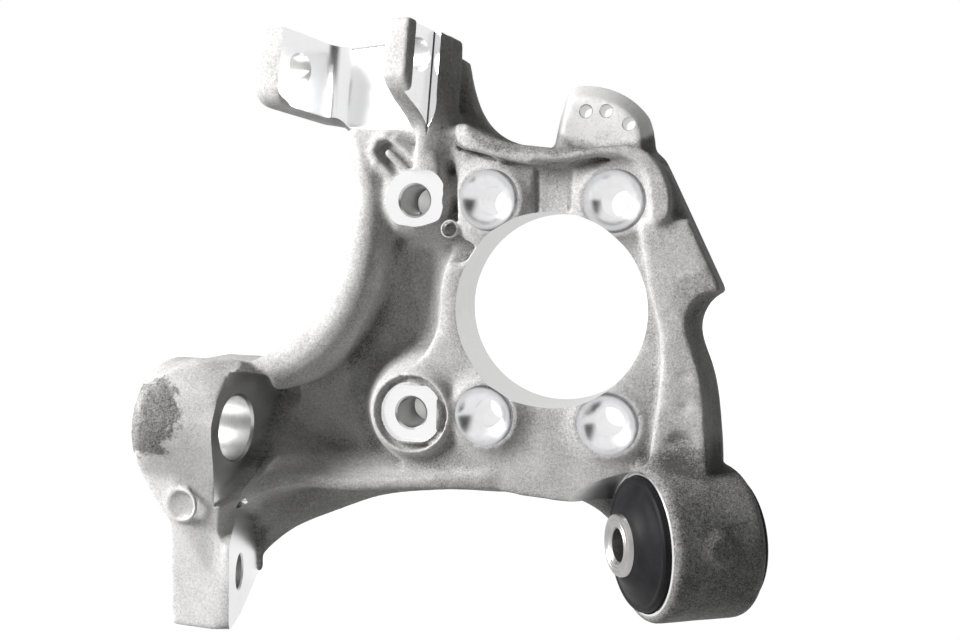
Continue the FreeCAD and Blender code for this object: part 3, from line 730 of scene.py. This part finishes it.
def turned_piece(name, profile, material):
    """A turned piece of the bush, from a closed profile of (along the axis, radius) points."""
    count = len(profile)
    angles = [2 * math.pi * k / BUSH_SEGMENTS for k in range(BUSH_SEGMENTS)]
    points = [BUSH.out(x, r * math.cos(a), r * math.sin(a)) for a in angles for x, r in profile]
    polygons = [[k * count + i, k * count + (i + 1) % count,
                 (k + 1) % BUSH_SEGMENTS * count + (i + 1) % count, (k + 1) % BUSH_SEGMENTS * count + i]
                for k in range(BUSH_SEGMENTS) for i in range(count)]
    piece = mesh_object(name, points, polygons)
    piece.data.materials.append(material)
    shape = bmesh.new()
    shape.from_mesh(piece.data)
    bmesh.ops.recalc_face_normals(shape, faces=shape.faces)
    for face in shape.faces:
        face.smooth = True
    for edge in shape.edges:
        edge.smooth = edge.calc_face_angle(0) < SOFT_ANGLE
    shape.to_mesh(piece.data)
    shape.free()
    return piece


def rubber_skin():
    """Black moulded rubber with a faint bloom."""
    material, shader, w = finish_of("rubber_skin", IOR=1.25)
    cloud = w.noise(70.0, 4.0, 0.6)
    grain = w.noise(1400.0, 2.0)
    colour = w.tint(((cloud - 0.35) * 1.6).clamped(), (0.006, 0.006, 0.007, 1), (0.028, 0.028, 0.03, 1))
    bump = w.node("Bump", {}, {"Height": grain + cloud * 0.5, "Strength": 0.25, "Distance": 0.0002})
    wear(material, shader, Base_Color=colour, Roughness=0.42 + cloud * 0.2, Normal=bump)
    return material


def both_ends(front):
    """A closed profile from its front half and the same half turned round at the far end."""
    return front + [(HOUSING_LENGTH - x, r) for x, r in reversed(front)]


rubber_front = [(1.0, RUBBER_OUT), (-0.8, RUBBER_OUT), (-2.2, 29.2), (-3.0, 28.4), (-3.2, 27.4), (-3.0, 26.6),
                (-3.3, 25.6), (-4.2, 24.0), (-5.2, 21.6), (-6.2, 19.0), (-7.6, 17.2), (-8.8, 15.6),
                (-9.5, RUBBER_IN)]
rubber = turned_piece("bush_rubber_ring", both_ends(rubber_front), rubber_skin())
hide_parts("bushing_rubber")
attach(rubber, "root")

# The inner sleeve of the bush: a thick steel tube, turned on its ends, that the arm's bolt clamps.
# It is bonded in the rubber and stands out of it at both ends.


def turned_steel():
    """Turned steel of the inner tube, with rings on its ends."""
    material, shader, w = finish_of("turned_steel", Metallic=1.0)
    cloud = w.noise(120.0, 3.0, 0.6)
    colour = w.tint(cloud, (0.30, 0.295, 0.285, 1), (0.62, 0.615, 0.60, 1))
    bump = w.node("Bump", {}, {"Height": w.noise(900.0, 2.0), "Strength": 0.15, "Distance": 0.0001})
    wear(material, shader, Base_Color=colour, Roughness=0.28 + cloud * 0.16, Normal=bump)
    return material


end_rings = [(-10.8, RUBBER_IN), (-11.7, 13.3), (-12.0, 12.6), (-12.0, 11.6), (-11.75, 11.35),
             (-11.75, 11.05), (-12.0, 10.8), (-12.0, 9.9), (-11.8, 9.7), (-11.8, 9.4), (-12.0, 9.2),
             (-12.0, 8.5), (-11.3, 7.6), (-10.6, 7.2)]
sleeve = turned_piece("bush_inner_tube", both_ends(end_rings), turned_steel())
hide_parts("bushing_inner_sleeve")
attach(sleeve, "root")

# The outer sleeve of the bush: a thin bright steel tube round the rubber.
# It is drawn, cut off square with its rims rounded, and pressed into the housing of the casting.

tube_rim = [(1.0, RUBBER_OUT), (0.4, 29.6), (0.0, 30.0), (0.0, 30.6), (0.5, HOUSING_BORE)]
tube = turned_piece("bush_outer_tube", both_ends(tube_rim), milled_metal())
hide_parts("bushing_outer_sleeve")
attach(tube, "root")

# The studio, in metres: pale floor, white surroundings and one soft lamp in front on the left, a
# little above. The floor and the surroundings look white to the camera and light the part weakly.

scene = bpy.context.scene
scene.view_settings.view_transform = "Standard"

FLOOR_Z, FLOOR_HALF = -0.1535, 6
WHITE = (1, 1, 1, 1)
floor_mesh = bpy.data.meshes.new("floor")
floor_corners = [(x * FLOOR_HALF, y * FLOOR_HALF, FLOOR_Z) for x, y in ((-1, -1), (1, -1), (1, 1), (-1, 1))]
floor_mesh.from_pydata(floor_corners, [], [(0, 1, 2, 3)])
floor = bpy.data.objects.new("floor", floor_mesh)
scene.collection.objects.link(floor)
pale = bpy.data.materials.new("pale_floor")
pale.use_nodes = True
w = Wire(pale.node_tree)
seen = w.node("LightPath", out="Is Camera Ray")
mirrored = w.node("LightPath", out="Is Glossy Ray")
place = w.node("TexCoord", out="Object")
far = w.node("VectorMath", {"operation": "LENGTH"}, {0: place}, out="Value").step(0.5, 1.6)
lit = w.node("BsdfDiffuse", {}, {"Color": (0.40, 0.40, 0.40, 1)})
glow = w.node("Emission", {}, {"Color": WHITE, "Strength": 1.22})
share = (seen * (0.82 + far * 0.18) + mirrored * 0.75).clamped()
mixed = w.node("MixShader", {}, {0: share, 1: lit, 2: glow})
pale.node_tree.links.new(mixed.socket, pale.node_tree.nodes["Material Output"].inputs["Surface"])
floor_mesh.materials.append(pale)

world = bpy.data.worlds.new("studio")
scene.world = world
world.use_nodes = True
w = Wire(world.node_tree)
toward = w.node("TexCoord", out="Generated")
parts = w.node("SeparateXYZ", {}, {"Vector": toward})
side = Wire(w.tree, parts.socket.node.outputs["X"])
depth = Wire(w.tree, parts.socket.node.outputs["Y"])
height = Wire(w.tree, parts.socket.node.outputs["Z"])
left = (side * -1.0).step(-0.2, 0.8)
right_front = side.step(0.5, 0.8) * (depth * -1.0).step(-0.3, 0.1)
above = height.step(0.3, 1.0)
sky = w.node("Background", {}, {"Color": WHITE, "Strength": 0.02 + 0.06 * left + 0.08 * above})
cards = w.node("Background", {}, {"Color": WHITE, "Strength": 0.98 - 0.9 * right_front})
white = w.node("Background", {}, {"Color": WHITE, "Strength": 1.0})
shown = w.node("MixShader", {}, {0: w.node("LightPath", out="Is Glossy Ray"), 1: sky, 2: cards})
shown = w.node("MixShader", {}, {0: w.node("LightPath", out="Is Camera Ray"), 1: shown, 2: white})
w.tree.links.new(shown.socket, w.tree.nodes["World Output"].inputs["Surface"])

LAMP_AT, LAMP_AIM = Vector((-1.08, -0.65, 0.57)), Vector((-0.03, 0, 0))
lamp = bpy.data.lights.new("key", "AREA")
lamp.shape = "RECTANGLE"
lamp.size = lamp.size_y = 0.6
lamp.energy = 30.0
key = bpy.data.objects.new("key", lamp)
key.location = LAMP_AT
key.rotation_mode = "QUATERNION"
key.rotation_quaternion = (LAMP_AIM - LAMP_AT).to_track_quat("-Z", "Y")
scene.collection.objects.link(key)

# The camera's place and directions come from the perspective of the part's round holes and faces
camera_data = bpy.data.cameras.new("camera")
camera_data.sensor_width = 36.0
camera_data.lens = 38.53
camera_data.clip_start = 0.01
camera = bpy.data.objects.new("camera", camera_data)
right = Vector((0.95847, 0.28441, 0.02127))
up = Vector((-0.03977, 0.05943, 0.99744))
back = right.cross(up)
directions = Matrix((right, up, back)).transposed().to_4x4()
camera.matrix_world = Matrix.Translation((0.102541, -0.490348, 0.027051)) @ directions
scene.collection.objects.link(camera)
scene.camera = camera

bpy.context.view_layer.update()
